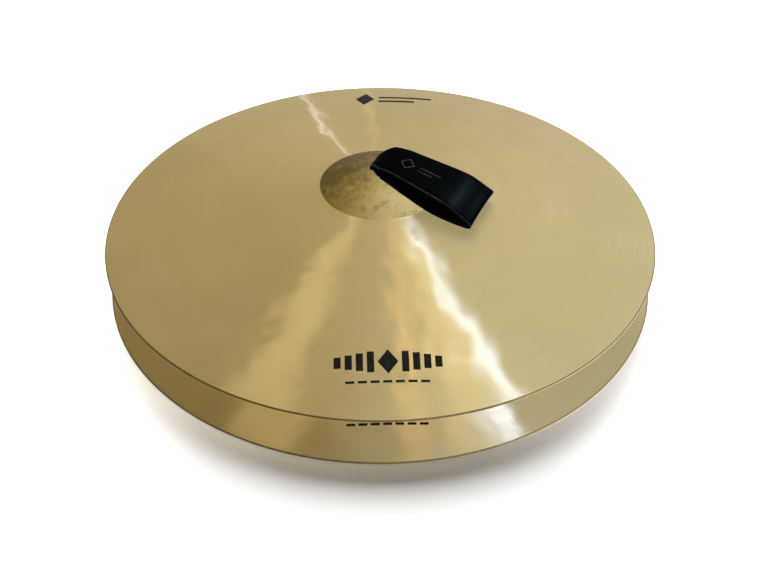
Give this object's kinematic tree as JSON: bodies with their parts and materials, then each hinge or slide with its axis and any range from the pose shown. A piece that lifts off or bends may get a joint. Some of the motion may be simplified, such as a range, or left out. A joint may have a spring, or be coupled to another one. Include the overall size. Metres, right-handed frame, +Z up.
{
  "type": "hand cymbals",
  "caption": "Pair of orchestral hand cymbals stacked bell up, each with a folded leather hand strap knotted inside its bell.",
  "frame": {"origin": "on the common axis of both cymbals, in the plane that the lower cymbal's rim rests on", "axes": "+Z up along the axis, out of the bells; +X to the player's right and -Y to the front; the straps lie 24 degrees to the front of +X"},
  "size_m": [0.4572, 0.4572, 0.1147],
  "materials": {
    "bronze": "bell bronze, lathed and polished bow with fine concentric lines, raw dark bell",
    "black_leather": "smooth black strap leather with a soft sheen and cut edges"
  },
  "bodies": {
    "lower_cymbal": {"lower_cymbal": "bronze"},
    "upper_cymbal": {"upper_cymbal": "bronze"},
    "lower_knot": {"lower_front_tail": "black_leather", "lower_right_tail": "black_leather", "lower_rear_tail": "black_leather", "lower_left_tail": "black_leather"},
    "upper_knot": {"upper_front_tail": "black_leather", "upper_right_tail": "black_leather", "upper_rear_tail": "black_leather", "upper_left_tail": "black_leather"},
    "lower_loop": {"lower_strap_loop": "black_leather"},
    "upper_loop": {"upper_strap_loop": "black_leather"}
  },
  "joints": [
    {"name": "upper_cymbal_lift", "type": "slide", "parent": "lower_cymbal", "child": "upper_cymbal", "axis": [0, 0, 1], "range_m": [0, 0.3]},
    {"name": "upper_strap_swivel", "type": "hinge", "parent": "upper_cymbal", "child": "upper_knot", "pos_m": [0, 0, 0.1], "axis": [0, 0, 1], "continuous": true},
    {"name": "lower_strap_swivel", "type": "hinge", "parent": "lower_cymbal", "child": "lower_knot", "pos_m": [0, 0, 0.057], "axis": [0, 0, 1], "continuous": true},
    {"name": "upper_loop_flex", "type": "hinge", "parent": "upper_knot", "child": "upper_loop", "pos_m": [0, 0, 0.1091], "axis": [-0.4067, -0.9135, 0], "range_deg": [0, 160]},
    {"name": "lower_loop_flex", "type": "hinge", "parent": "lower_knot", "child": "lower_loop", "pos_m": [0, 0, 0.0661], "axis": [-0.4067, -0.9135, 0], "range_deg": [0, 160]}
  ],
  "couplings": [
    {"joint": "lower_loop_flex", "follows": "upper_cymbal_lift", "rad_per_m": 9.3}
  ]
}
